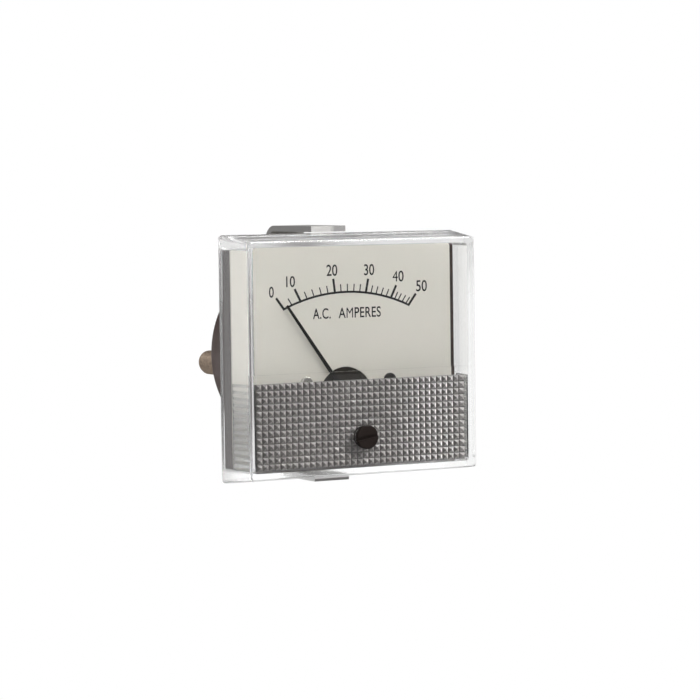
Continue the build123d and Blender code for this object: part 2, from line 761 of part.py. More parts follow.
save(make_adjuster_clip(), "adjuster_clip")
save(make_stud(-1), "terminal_stud_left")
save(make_stud(1), "terminal_stud_right")
save(make_pair(make_lock_washer), "stud_lock_washers")
save(make_pair(make_stud_nut), "stud_nuts")
save(make_clamp_stud(), "clamp_stud")
save(make_mounting_clamp(), "mounting_clamp")
save(make_clamp_washers(), "clamp_washers")
save(make_clamp_nuts(), "clamp_nuts")
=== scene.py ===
"""Panel ammeter: materials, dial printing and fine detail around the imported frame, in metres."""
import json
import math

import bmesh
import bpy
from mathutils import Matrix, Vector


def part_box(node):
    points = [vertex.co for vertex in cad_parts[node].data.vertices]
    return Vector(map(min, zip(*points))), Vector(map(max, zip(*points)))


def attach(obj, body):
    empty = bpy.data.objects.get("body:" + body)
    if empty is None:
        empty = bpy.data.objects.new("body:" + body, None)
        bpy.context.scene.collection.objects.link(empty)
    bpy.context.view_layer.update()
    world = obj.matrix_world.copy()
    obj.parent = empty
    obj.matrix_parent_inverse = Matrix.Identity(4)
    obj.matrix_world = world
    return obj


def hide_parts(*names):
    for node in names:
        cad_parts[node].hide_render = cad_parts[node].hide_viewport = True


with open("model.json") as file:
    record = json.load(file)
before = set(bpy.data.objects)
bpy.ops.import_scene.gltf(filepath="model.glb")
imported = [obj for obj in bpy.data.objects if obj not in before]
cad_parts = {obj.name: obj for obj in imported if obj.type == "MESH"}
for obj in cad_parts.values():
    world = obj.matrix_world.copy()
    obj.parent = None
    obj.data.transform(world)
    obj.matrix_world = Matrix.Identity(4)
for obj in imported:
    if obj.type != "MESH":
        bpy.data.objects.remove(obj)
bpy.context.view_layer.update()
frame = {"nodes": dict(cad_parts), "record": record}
nodes = frame["nodes"]

MM = 0.001


def mm(*lengths):
    """Lengths in millimetres, as metres."""
    return tuple(length * MM for length in lengths)


def corner(node, which):
    """The lowest or highest corner of a CAD node, in millimetres."""
    low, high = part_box(node)
    return (low if which == "low" else high) / MM


# Node helpers. A source is a socket, and a span is the pair of values that it runs between.

NOISE_SPAN = (0.3, 0.7)


def new_material(name):
    """A material of one shader, with its tree and that shader."""
    material = bpy.data.materials.new(name)
    material.use_nodes = True
    tree = material.node_tree
    tree.nodes.clear()
    out = tree.nodes.new("ShaderNodeOutputMaterial")
    shader = tree.nodes.new("ShaderNodeBsdfPrincipled")
    tree.links.new(shader.outputs["BSDF"], out.inputs["Surface"])
    return material, tree, shader


def axes(tree, coordinate):
    """The X, Y and Z of a texture coordinate: Object, Normal or Generated."""
    place = tree.nodes.new("ShaderNodeTexCoord")
    split = tree.nodes.new("ShaderNodeSeparateXYZ")
    tree.links.new(place.outputs[coordinate], split.inputs[0])
    return split.outputs


def number(tree, operation, *inputs):
    """A math node whose inputs are sockets or plain numbers."""
    node = tree.nodes.new("ShaderNodeMath")
    node.operation = operation
    for socket, value in zip(node.inputs, inputs):
        if isinstance(value, (int, float)):
            socket.default_value = value
        else:
            tree.links.new(value, socket)
    return node.outputs[0]


def largest(tree, first, *others):
    """The largest of several numbers."""
    for other in others:
        first = number(tree, "MAXIMUM", first, other)
    return first


def from_vector(tree, operation, coordinate, other=(0, 0, 0)):
    """A number worked out from a texture coordinate and a plain vector."""
    place = tree.nodes.new("ShaderNodeTexCoord")
    node = tree.nodes.new("ShaderNodeVectorMath")
    node.operation = operation
    tree.links.new(place.outputs[coordinate], node.inputs[0])
    node.inputs[1].default_value = other
    return node.outputs["Value"]


def ranged(tree, source, span, result=(0.0, 1.0)):
    """A number that runs through the result while the source runs through the span."""
    node = tree.nodes.new("ShaderNodeMapRange")
    node.inputs["From Min"].default_value, node.inputs["From Max"].default_value = span
    node.inputs["To Min"].default_value, node.inputs["To Max"].default_value = result
    tree.links.new(source, node.inputs["Value"])
    return node.outputs["Result"]


def grain(tree, size, detail=4.0, stretch=(1, 1, 1)):
    """A noise of a size in millimetres, stretched where the finish has a direction."""
    place = tree.nodes.new("ShaderNodeTexCoord")
    mapping = tree.nodes.new("ShaderNodeMapping")
    mapping.inputs["Scale"].default_value = stretch
    tree.links.new(place.outputs["Object"], mapping.inputs["Vector"])
    noise = tree.nodes.new("ShaderNodeTexNoise")
    noise.inputs["Scale"].default_value = 1 / (size * MM)
    noise.inputs["Detail"].default_value = detail
    tree.links.new(mapping.outputs["Vector"], noise.inputs["Vector"])
    return noise.outputs["Fac"]


def ramp(tree, noise, low, high):
    """A noise as a colour between low and high."""
    node = tree.nodes.new("ShaderNodeValToRGB")
    for element, position, colour in zip(node.color_ramp.elements, NOISE_SPAN, (low, high)):
        element.position = position
        element.color = (*colour, 1)
    tree.links.new(noise, node.inputs["Fac"])
    return node.outputs["Color"]


def blend(tree, share, first, second):
    """Two colours, plain or from sockets, mixed by a share from 0 to 1."""
    mix = tree.nodes.new("ShaderNodeMix")
    mix.data_type = "RGBA"
    tree.links.new(share, mix.inputs["Factor"])
    for socket, colour in ((mix.inputs[6], first), (mix.inputs[7], second)):
        if isinstance(colour, tuple):
            socket.default_value = (*colour, 1)
        else:
            tree.links.new(colour, socket)
    return mix.outputs[2]


def add_bump(tree, shader, source, depth, strength=1.0):
    """Bumps of a depth in millimetres."""
    node = tree.nodes.new("ShaderNodeBump")
    node.inputs["Distance"].default_value = depth * MM
    node.inputs["Strength"].default_value = strength
    tree.links.new(source, node.inputs["Height"])
    tree.links.new(node.outputs["Normal"], shader.inputs["Normal"])


# Materials

BROAD_GRAIN, BROAD_DETAIL, ROUGH_VARY = 8, 3.0, 0.2


def finish(name, colour, roughness, metallic=0.0, vary=0.1, size=0.5, depth=0.004,
           stretch=(1, 1, 1), coat=0.0, gloss=0.5):
    """A surface with fine grain: its colour wanders by vary over size millimetres."""
    material, tree, shader = new_material(name)
    noise = grain(tree, size, stretch=stretch)
    low = [c * (1 - vary) for c in colour]
    high = [min(1.0, c * (1 + vary)) for c in colour]
    tree.links.new(ramp(tree, noise, low, high), shader.inputs["Base Color"])
    broad = grain(tree, BROAD_GRAIN * size, detail=BROAD_DETAIL, stretch=stretch)
    rough = (roughness * (1 - ROUGH_VARY), min(1.0, roughness * (1 + ROUGH_VARY)))
    tree.links.new(ranged(tree, broad, NOISE_SPAN, rough), shader.inputs["Roughness"])
    shader.inputs["Metallic"].default_value = metallic
    shader.inputs["Specular IOR Level"].default_value = gloss
    shader.inputs["Coat Weight"].default_value = coat
    add_bump(tree, shader, noise, depth)
    return material


CLEAR_IOR = 1.55
CLEAR_TINT = ((0.985, 0.99, 0.985), (1.0, 1.0, 1.0))
WAVE_SIZE, WAVE_DETAIL, WAVE_DEPTH, WAVE_STRENGTH = 14, 1.0, 0.006, 0.15
WALL_FROST, EDGE_FROST, RIM_FROST, RIM_LOW_FROST = 0.12, 0.45, 0.60, 0.15
WALL_FACING, EDGE_TURN_IN, EDGE_TURN_OUT = (0.35, 0.9), (0.15, 0.4), (0.78, 0.92)
RIM_DEPTHS, RIM_HEIGHTS = mm(-0.8, -0.1), mm(10, 25)


def clear_plastic(name):
    """Clear moulded polystyrene with a faint waviness."""
    material, tree, shader = new_material(name)
    waves = grain(tree, WAVE_SIZE, detail=WAVE_DETAIL)
    tree.links.new(ramp(tree, waves, *CLEAR_TINT), shader.inputs["Base Color"])
    # The front is polished, and the walls and edges off the mould's sides are a little frosted
    frontal = number(tree, "ABSOLUTE", axes(tree, "Normal")["Y"])
    walls = ranged(tree, frontal, WALL_FACING, (WALL_FROST, 0.0))
    turned_out = ranged(tree, frontal, EDGE_TURN_OUT, (EDGE_FROST, 0.0))
    edges = number(tree, "MULTIPLY", ranged(tree, frontal, EDGE_TURN_IN), turned_out)
    # The rim that lies on the panel is matt, most of all over the dial
    place = axes(tree, "Object")
    matt = ranged(tree, place["Z"], RIM_HEIGHTS, (RIM_LOW_FROST, RIM_FROST))
    rim = number(tree, "MULTIPLY", ranged(tree, place["Y"], RIM_DEPTHS), matt)
    tree.links.new(largest(tree, walls, edges, rim), shader.inputs["Roughness"])
    shader.inputs["IOR"].default_value = CLEAR_IOR
    shader.inputs["Transmission Weight"].default_value = 1.0
    add_bump(tree, shader, waves, WAVE_DEPTH, WAVE_STRENGTH)
    return material


STRAP_FLAT = ((0.36, 0.35, 0.33), (0.47, 0.46, 0.44))
# Painted shade: the strap's side edges are painted dark, as if facing away from the light.
STRAP_EDGE_SHADE = (0.20, 0.195, 0.19)
# Painted light: the lower leg's edges and end are painted lighter, as if lit from the floor below.
STRAP_LOW_LIT_EDGE, STRAP_LOW_LIT_TIP = (0.55, 0.545, 0.54), (0.80, 0.79, 0.78)
# Painted highlight on the left of each end face, and painted shade on its right.
STRAP_TIP_HIGHLIGHT, STRAP_TIP_SHADE = (0.50, 0.49, 0.475), (0.28, 0.275, 0.27)
STRAP_GRAIN, STRAP_STRETCH, STRAP_DEPTH = 0.5, (1, 0.12, 0.12), 0.003
STRAP_ROUGH, STRAP_METALLIC = (0.30, 0.40), (1.0, 0.2)
EDGE_FACING, TIP_FACING = (0.4, 0.8), (-0.4, -0.8)
LOWER_LEG = mm(-25, -29)
TIP_SHADE_SPLIT, TIP_RAGGED = mm(0.7, 1.4), mm(-0.3, 0.3)
# Painted shadow: a dark line along the bottom of the foot's end face.
FOOT_SHADE_LINE = mm(0.75, 0.55)


def strap_with_painted_light(name):
    """Plated strap with painted light: painted shade on the side edges, painted light on the lower
    leg, and end faces with a painted highlight that turns to painted shade to the right and at the
    foot.
    """
    material, tree, shader = new_material(name)
    place, facing = axes(tree, "Object"), axes(tree, "Normal")
    streaks = grain(tree, STRAP_GRAIN, stretch=STRAP_STRETCH)
    # Painted light: a mask for the lower leg, which is painted lighter.
    lower = ranged(tree, place["Z"], LOWER_LEG)
    # The side edges get painted shade, made paler on the lower leg by painted light.
    edges = blend(tree, lower, STRAP_EDGE_SHADE, STRAP_LOW_LIT_EDGE)
    at_edge = ranged(tree, number(tree, "ABSOLUTE", facing["X"]), EDGE_FACING)
    shade = blend(tree, at_edge, ramp(tree, streaks, *STRAP_FLAT), edges)
    # The end face turns from painted highlight to painted shade across a ragged line.
    ragged = ranged(tree, streaks, NOISE_SPAN, TIP_RAGGED)
    across = ranged(tree, number(tree, "ADD", place["X"], ragged), TIP_SHADE_SPLIT)
    tip = blend(tree, across, STRAP_TIP_HIGHLIGHT, STRAP_TIP_SHADE)
    # Painted light: the lower leg's end is painted lighter.
    tip = blend(tree, lower, tip, STRAP_LOW_LIT_TIP)
    # Painted shadow along the bottom of the foot's end, in the edges' painted shade colour.
    foot = corner("mounting_clamp", "low").z * MM
    painted_foot_shadow = ranged(tree, place["Z"], tuple(foot + line for line in FOOT_SHADE_LINE))
    tip = blend(tree, painted_foot_shadow, tip, STRAP_EDGE_SHADE)
    is_tip = ranged(tree, facing["Y"], TIP_FACING)
    tree.links.new(blend(tree, is_tip, shade, tip), shader.inputs["Base Color"])
    tree.links.new(ranged(tree, is_tip, (0, 1), STRAP_METALLIC), shader.inputs["Metallic"])
    tree.links.new(ranged(tree, streaks, NOISE_SPAN, STRAP_ROUGH), shader.inputs["Roughness"])
    add_bump(tree, shader, streaks, STRAP_DEPTH)
    return material


PLATING = ((0.56, 0.54, 0.50), (0.70, 0.68, 0.64))
# Painted shade: the right screw's colour, darkened as for a dim reflection.
SHADED_PLATING = (0.045, 0.040, 0.036)
PLATING_GRAIN, PLATING_DEPTH, PLATING_ROUGH = 0.2, 0.002, (0.24, 0.34)
SHADE_FROM_TO = mm(-2, 2)


def plated_heads(name):
    """Nickel plating, with painted shade that makes the right screw dark in place of its dimmer
    reflection.
    """
    material, tree, shader = new_material(name)
    noise = grain(tree, PLATING_GRAIN)
    # Painted shade over the right screw.
    right_screw_shade = ranged(tree, axes(tree, "Object")["X"], SHADE_FROM_TO)
    plating = blend(tree, right_screw_shade, ramp(tree, noise, *PLATING), SHADED_PLATING)
    tree.links.new(plating, shader.inputs["Base Color"])
    shader.inputs["Metallic"].default_value = 1.0
    tree.links.new(ranged(tree, noise, NOISE_SPAN, PLATING_ROUGH), shader.inputs["Roughness"])
    add_bump(tree, shader, noise, PLATING_DEPTH)
    return material


FACET_LEAN = 0.565
PYRAMID_HEIGHT, GROOVE_DEPTH, GROOVE_FLOOR = 0.55, 0.14, 0.02
# Painted light and shade on the facets: the left ones painted dark, the right ones painted light.
GRID_LEFT_SHADE = (0.135, 0.125, 0.120)
GRID_MIDDLE_SHADE = (0.290, 0.272, 0.264)
GRID_RIGHT_LIT = (0.54, 0.515, 0.50)
# Painted highlight on the right facets towards the right end.
GRID_HIGHLIGHT = (0.98, 0.97, 0.96)
# Painted shade in the grooves between the pyramids.
GRID_GROOVE_SHADE = (0.095, 0.088, 0.085)
# Painted shade: the even grey painted over the right end.
GRID_END_EVEN_SHADE, END_SHARE = (0.42, 0.40, 0.39), 0.65
HIGHLIGHT_RISE, HIGHLIGHT_FALL, HIGHLIGHT_FACING = mm(8.0, 16.0), mm(26.3, 26.5), (-0.08, 0.5)
GRID_GRAIN, GRID_DETAIL, GRID_WEAR = 0.9, 3.0, 0.08
GRID_FINE_GRAIN, GRID_DEPTH = 0.25, 0.002
GRID_ROUGH, GRID_METALLIC = (0.30, 0.42), (0.35, 0.0)


def faceted_silver(name):
    """Silver on small pyramids, with painted light: the right facets painted light, the left ones
    painted dark, a painted highlight towards the right end and painted shade in the grooves.
    """
    material, tree, shader = new_material(name)
    place, facing = axes(tree, "Object"), axes(tree, "Normal")
    # Painted light and shade by the way each facet faces: 0 on the left facets, 1 on the right ones,
    # and between on those that face up or down
    side = ranged(tree, facing["X"], (-FACET_LEAN, FACET_LEAN))
    noise = grain(tree, GRID_GRAIN, detail=GRID_DETAIL)
    # The painted facet shading wanders a little with random wear.
    facet_shade_and_wear = number(tree, "ADD", side, ranged(tree, noise, NOISE_SPAN, (-GRID_WEAR, GRID_WEAR)))
    facet_shade = tree.nodes.new("ShaderNodeValToRGB")
    facet_shade.color_ramp.elements[0].color = (*GRID_LEFT_SHADE, 1)
    facet_shade.color_ramp.elements[1].color = (*GRID_RIGHT_LIT, 1)
    facet_shade.color_ramp.elements.new(0.5).color = (*GRID_MIDDLE_SHADE, 1)
    tree.links.new(facet_shade_and_wear, facet_shade.inputs["Fac"])
    # Painted shade: the right end is painted a more even grey, with less of the facets' painted
    # light and shade
    at_end = ranged(tree, place["X"], HIGHLIGHT_FALL, (0.0, END_SHARE))
    colour = blend(tree, at_end, facet_shade.outputs["Color"], GRID_END_EVEN_SHADE)
    # Painted highlight: right facets are painted near white in a broad band towards the right end
    rise = ranged(tree, place["X"], HIGHLIGHT_RISE)
    fall = ranged(tree, place["X"], HIGHLIGHT_FALL, (1.0, 0.0))
    band = number(tree, "MULTIPLY", rise, fall)
    bright = number(tree, "MULTIPLY", band, ranged(tree, facing["X"], HIGHLIGHT_FACING))
    colour = blend(tree, bright, colour, GRID_HIGHLIGHT)
    # Painted shade: the grooves between the pyramids are painted dark
    groove = corner("grid_panel", "low").y + PYRAMID_HEIGHT
    groove_shade = ranged(tree, place["Y"], mm(groove - GROOVE_DEPTH, groove - GROOVE_FLOOR))
    tree.links.new(blend(tree, groove_shade, colour, GRID_GROOVE_SHADE), shader.inputs["Base Color"])
    tree.links.new(ranged(tree, noise, NOISE_SPAN, GRID_ROUGH), shader.inputs["Roughness"])
    tree.links.new(ranged(tree, bright, (0, 1), GRID_METALLIC), shader.inputs["Metallic"])
    add_bump(tree, shader, grain(tree, GRID_FINE_GRAIN), GRID_DEPTH)
    return material


MATERIALS = {
    "clear_cover": clear_plastic("clear_cover"),
    "silver_grid": faceted_silver("silver_grid"),
    "brown_base": finish("brown_base", (0.046, 0.027, 0.023), 0.45, vary=0.18, size=0.4, gloss=0.3),
    "scale_face": finish("scale_face", (0.84, 0.81, 0.73), 0.6, vary=0.015, size=0.3, depth=0.001),
    "plated_screws": plated_heads("plated_screws"),
    "black_metal": finish("black_metal", (0.021, 0.016, 0.011), 0.6, vary=0.25, size=0.2,
                          depth=0.003, gloss=0.2),
    "bobbin_plastic": finish("bobbin_plastic", (0.13, 0.10, 0.08), 0.45, vary=0.15),
    "enamelled_copper": finish("enamelled_copper", (0.48, 0.20, 0.09), 0.25, metallic=0.8,
                               vary=0.15, size=0.6, coat=0.5),
    "bare_copper": finish("bare_copper", (0.78, 0.45, 0.30), 0.35, metallic=1.0, vary=0.12),
    "vane_iron": finish("vane_iron", (0.40, 0.39, 0.38), 0.4, metallic=1.0, vary=0.15, size=0.3),
    "brass_parts": finish("brass_parts", (0.78, 0.60, 0.30), 0.3, metallic=1.0, vary=0.12,
                          size=0.4),
    "steel_parts": finish("steel_parts", (0.60, 0.60, 0.61), 0.25, metallic=1.0, size=0.3,
                          stretch=(1, 0.1, 1)),
    "stud_brass": finish("stud_brass", (0.24, 0.185, 0.14), 0.5, metallic=0.6, vary=0.25,
                         depth=0.005),
    "plated_steel": finish("plated_steel", (0.62, 0.61, 0.58), 0.3, metallic=1.0, vary=0.12,
                           depth=0.003),
    "clamp_steel": strap_with_painted_light("clamp_steel"),
    "black_pointer": finish("black_pointer", (0.010, 0.009, 0.008), 0.6, vary=0.3, size=0.3,
                            gloss=0.2),
    "spring_bronze": finish("spring_bronze", (0.68, 0.47, 0.27), 0.3, metallic=1.0, size=0.3),
    "black_knob": finish("black_knob", (0.009, 0.006, 0.005), 0.5, vary=0.25, size=0.3, gloss=0.08),
}
INK = finish("dial_ink", (0.010, 0.009, 0.008), 0.7, vary=0.3, size=0.15, depth=0.002)

for row in frame["record"]["subparts"]:
    node = nodes[row["node"]]
    material = MATERIALS[row["material_slot"]]
    if not node.material_slots:
        node.data.materials.append(material)
    for slot in node.material_slots:
        slot.material = material


# Dial printing, in millimetres and in degrees from straight up

PRINT_HEIGHT = 0.02
ARC_CENTRE_Z = -26.88
ARC_RADIUS = 42.13
ARC_WIDTH = 0.52
ARC_STEPS = 72
LONG_TICK, SHORT_TICK = 3.72, 2.22
LONG_WIDTH, SHORT_WIDTH = 0.60, 0.30
LONG_EVERY = 10
LETTER_WEIGHT = 0.010
LEGEND_SPACING = 1.05
# Letters whose outline folds over itself when it is made heavier
SHARP_LETTERS = "M4"
TICK_ANGLES = {
    0: -37.2, 5: -32.5, 10: -27.4, 12: -23.5, 14: -19.4, 16: -15.1, 18: -11.1, 20: -7.0,
    22: -3.3, 24: 0.5, 26: 4.3, 28: 7.9, 30: 11.6, 32: 14.7, 34: 17.7, 36: 20.8, 38: 23.8,
    40: 26.7, 42: 28.9, 44: 31.0, 46: 33.4, 48: 35.7, 50: 37.4,
}
# The box of each word: left, right, bottom, top
NUMERALS = {
    "0": (-21.3, -20.0, 14.7, 17.4), "10": (-16.6, -14.2, 17.1, 19.8),
    "20": (-5.5, -2.5, 19.5, 22.3), "30": (4.95, 7.8, 19.4, 22.15),
    "40": (12.95, 16.1, 17.6, 20.3), "50": (19.6, 22.7, 15.0, 17.8),
}
LEGENDS = {"A.C.": (-9.4, -4.5, 9.1, 11.7), "AMPERES": (-2.3, 9.5, 9.1, 11.7)}

scale_front = corner("scale_plate", "low").y
print_front = scale_front - PRINT_HEIGHT
pivot_z = (corner("pivot_staff", "low").z + corner("pivot_staff", "high").z) / 2


def keep(mesh, name, slot, material=None):
    """Turns a bmesh into a piece on the case, with the slot's material or one of its own."""
    bmesh.ops.recalc_face_normals(mesh, faces=mesh.faces)
    data = bpy.data.meshes.new(name)
    mesh.to_mesh(data)
    mesh.free()
    data.materials.append(material or MATERIALS[slot])
    for face in data.polygons:
        face.use_smooth = False
    piece = bpy.data.objects.new(name, data)
    bpy.context.scene.collection.objects.link(piece)
    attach(piece, "case")
    return piece


def arc_point(angle):
    """Where a ray from the pivot, at an angle from straight up, meets the scale's arc."""
    x, z = math.sin(math.radians(angle)), math.cos(math.radians(angle))
    rise = pivot_z - ARC_CENTRE_Z
    reach = -rise * z + math.sqrt(ARC_RADIUS**2 - (rise * x) ** 2)
    return reach * x, pivot_z + reach * z


def flat_bar(mesh, start, end, width):
    """A thin printed bar between two points of the dial."""
    (x0, z0), (x1, z1) = start, end
    length = math.hypot(x1 - x0, z1 - z0)
    nx, nz = (z1 - z0) / length * width / 2, -(x1 - x0) / length * width / 2
    corners = [(x0 - nx, z0 - nz), (x1 - nx, z1 - nz), (x1 + nx, z1 + nz), (x0 + nx, z0 + nz)]
    fronts = [mesh.verts.new((x * MM, print_front * MM, z * MM)) for x, z in corners]
    backs = [mesh.verts.new((x * MM, scale_front * MM, z * MM)) for x, z in corners]
    mesh.faces.new(fronts)
    for i in range(4):
        j = (i + 1) % 4
        mesh.faces.new((fronts[j], fronts[i], backs[i], backs[j]))


def print_scale():
    """The scale's arc and its marks."""
    mesh = bmesh.new()
    first, last = min(TICK_ANGLES.values()), max(TICK_ANGLES.values())
    section = [(0, scale_front), (0, print_front)]
    section += [(ARC_WIDTH, print_front), (ARC_WIDTH, scale_front)]
    rings = []
    for i in range(ARC_STEPS + 1):
        x, z = arc_point(first + (last - first) * i / ARC_STEPS)
        dx, dz = x / ARC_RADIUS, (z - ARC_CENTRE_Z) / ARC_RADIUS
        places = [((x + out * dx) * MM, y * MM, (z + out * dz) * MM) for out, y in section]
        rings.append([mesh.verts.new(place) for place in places])
    for a, b in zip(rings, rings[1:]):
        for i in range(3):
            mesh.faces.new((a[i], a[i + 1], b[i + 1], b[i]))
    for reading, angle in TICK_ANGLES.items():
        long = reading % LONG_EVERY == 0
        length, width = (LONG_TICK, LONG_WIDTH) if long else (SHORT_TICK, SHORT_WIDTH)
        x, z = arc_point(angle)
        dx, dz = math.sin(math.radians(angle)), math.cos(math.radians(angle))
        flat_bar(mesh, (x, z), (x + dx * length, z + dz * length), width)
    keep(mesh, "scale_lines", "scale_face", INK)


def letters(text, spacing, weight):
    """For each letter of a word, from left to right, its flat faces as lists of points."""
    curve = bpy.data.curves.new(text, "FONT")
    curve.body = text
    curve.space_character = spacing
    curve.fill_mode = "FRONT"
    curve.offset = weight
    word = bpy.data.objects.new(text, curve)
    bpy.context.scene.collection.objects.link(word)
    bpy.context.view_layer.update()
    data = bpy.data.meshes.new_from_object(word)
    bpy.data.objects.remove(word)
    mesh = bmesh.new()
    mesh.from_mesh(data)
    bpy.data.meshes.remove(data)
    left, found = set(mesh.faces), []
    while left:
        waiting, glyph = [left.pop()], []
        while waiting:
            face = waiting.pop()
            glyph.append(face)
            near = {other for vert in face.verts for other in vert.link_faces} & left
            left -= near
            waiting.extend(near)
        found.append([[(v.co.x, v.co.y) for v in face.verts] for face in glyph])
    mesh.free()
    return sorted(found, key=lambda glyph: min(x for face in glyph for x, _ in face))


def print_word(name, text, box, spacing=1.0):
    """Generic dial lettering, fitted to a box of the dial."""
    left, right, bottom, top = box
    bold, plain = letters(text, spacing, LETTER_WEIGHT), letters(text, spacing, 0.0)
    glyphs = [plain[i] if char in SHARP_LETTERS else bold[i] for i, char in enumerate(text)]
    points = [point for glyph in glyphs for face in glyph for point in face]
    xs, ys = [x for x, _ in points], [y for _, y in points]
    wide, high = (right - left) / (max(xs) - min(xs)), (top - bottom) / (max(ys) - min(ys))
    mesh = bmesh.new()
    for glyph in glyphs:
        made = {}
        for face in glyph:
            for x, y in face:
                if (x, y) not in made:
                    px, pz = left + (x - min(xs)) * wide, bottom + (y - min(ys)) * high
                    made[x, y] = mesh.verts.new((px * MM, print_front * MM, pz * MM))
            mesh.faces.new([made[point] for point in face])
    thick = bmesh.ops.extrude_face_region(mesh, geom=mesh.faces[:])
    for part in thick["geom"]:
        if isinstance(part, bmesh.types.BMVert):
            part.co.y = scale_front * MM
    keep(mesh, name, "scale_face", INK)


# Fine ribs inside the cover's side walls, one for each row of the grid, in millimetres

RIB_HEIGHT, RIB_VALLEY, RIB_OFF_WALL = 0.35, 0.06, 0.03
RIB_DEPTHS = (-10.9, -3.9)
WALL_FRONT_Y, WALL_FRONT_X, WALL_BACK_X = -11.5, 29.6, 31.05
ROWS = 13


def wall_x(y):
    """Half the width between the cover's drafted side walls at a depth, in millimetres."""
    return WALL_BACK_X + (WALL_BACK_X - WALL_FRONT_X) * y / -WALL_FRONT_Y


def wall_ribs(side, name):
    """The ribs of one side wall: -1 is left and 1 is right."""
    low, high = corner("grid_panel", "low").z, corner("grid_panel", "high").z
    mesh = bmesh.new()
    ends = []
    for y in RIB_DEPTHS:
        root = wall_x(y) - RIB_OFF_WALL
        row = [(root, low), (root, high)]
        for i in range(2 * ROWS, -1, -1):
            reach = RIB_HEIGHT if i % 2 else RIB_VALLEY
            row.append((root - reach, low + (high - low) * i / (2 * ROWS)))
        ends.append([mesh.verts.new((side * x * MM, y * MM, z * MM)) for x, z in row])
    front, back = ends
    count = len(front)
    for i in range(count):
        j = (i + 1) % count
        mesh.faces.new((front[i], front[j], back[j], back[i]))
    for row in ends:
        mesh.faces.new(row)
    # Each end is one face with a sawtooth side, and is cut into triangles
    bmesh.ops.triangulate(mesh, faces=[f for f in mesh.faces if len(f.verts) > 4])
    keep(mesh, name, "clear_cover")


PLATE_CORNER, PLATE_RISE, PLATE_REACH = 1.5, 0.9, 0.3


def full_plate():
    """The dial plate with its top edge up to the window's wall, and a little wider at the right."""
    source = nodes["scale_plate"]
    high = corner("scale_plate", "high")
    mesh = bmesh.new()
    mesh.from_mesh(source.data)
    mesh.transform(source.matrix_world)
    for v in mesh.verts:
        if v.co.z / MM > high.z - PLATE_CORNER:
            v.co.z += PLATE_RISE * MM
        if v.co.x / MM > high.x - PLATE_CORNER:
            v.co.x += PLATE_REACH * MM
    piece = keep(mesh, "dial_plate", "scale_face")
    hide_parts("scale_plate")


THREAD_START, THREAD_CHAMFER = 21.6, 0.7
THREAD_STEPS, THREAD_SIDES = 6, 36
# For each stud: its piece, slot, head depth and outer radius, and its thread's pitch and depth
STUDS = {
    "terminal_stud_left": ("threaded_stud_left", "stud_brass", 2.5, 3.1, 0.907, 0.45),
    "terminal_stud_right": ("threaded_stud_right", "stud_brass", 2.5, 3.1, 0.907, 0.45),
    "clamp_stud": ("threaded_clamp_stud", "steel_parts", 2.0, 2.4, 0.794, 0.40),
}


def threaded(node, name, slot, head_depth, outer, pitch, depth):
    """The stud of a node with its head as it is and a real thread from THREAD_START to its end."""
    low, high = corner(node, "low"), corner(node, "high")
    x, z = (low.x + high.x) / 2, (low.z + high.z) / 2
    head_radius, shank = (high.x - low.x) / 2, outer - depth / 2
    head_end = low.y + head_depth
    plain = [(low.y, head_radius), (head_end, head_radius), (head_end, shank)]
    plain.append((THREAD_START, shank))
    rows = [[ring] * THREAD_SIDES for ring in plain]
    steps = round((high.y - THREAD_START) / pitch * THREAD_STEPS)
    for k in range(steps + 1):
        y = THREAD_START + (high.y - THREAD_START) * k / steps
        limit = outer - max(0.0, y - (high.y - THREAD_CHAMFER))
        row = []
        for i in range(THREAD_SIDES):
            phase = (y / pitch + i / THREAD_SIDES) % 1.0
            radius = outer - depth + depth * abs(2 * phase - 1)
            row.append((y, min(radius, limit)))
        rows.append(row)
    mesh = bmesh.new()
    made = []
    for row in rows:
        ring = []
        for i, (y, radius) in enumerate(row):
            angle = 2 * math.pi * i / THREAD_SIDES
            px, pz = x + radius * math.sin(angle), z + radius * math.cos(angle)
            ring.append(mesh.verts.new((px * MM, y * MM, pz * MM)))
        made.append(ring)
    for a, b in zip(made, made[1:]):
        for i in range(THREAD_SIDES):
            j = (i + 1) % THREAD_SIDES
            mesh.faces.new((a[i], a[j], b[j], b[i]))
    mesh.faces.new(made[0])
    mesh.faces.new(made[-1])
    piece = keep(mesh, name, slot)
    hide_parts(node)


wall_ribs(-1, "wall_ribs_left")
wall_ribs(1, "wall_ribs_right")
for stud, sizes in STUDS.items():
    threaded(stud, *sizes)
full_plate()
print_scale()
for text, box in NUMERALS.items():
    print_word("numeral_" + text, text, box)
for text, box in LEGENDS.items():
    print_word("legend_" + text.replace(".", "").lower(), text, box, LEGEND_SPACING)


# Camera, light and background, in metres

FOCAL_PIXELS, IMAGE_PIXELS, SENSOR_WIDTH = 3000.0, 700.0, 36.0
CAMERA_RIGHT, CAMERA_UP = (0.87850, -0.47753, -0.01411), (0.03963, 0.04341, 0.99827)
CAMERA_PLACE = (-0.34955, -0.64975, 0.04320)
CAMERA_CLIP = (0.01, 20.0)
KEY_PLACE = (0.8, -1.0, 1.0)
# For each lamp: its place, size and power
LAMPS = {"key": (KEY_PLACE, 0.5, 30.0), "fill": ((-1.1, -0.9, 0.8), 0.9, 9.0)}


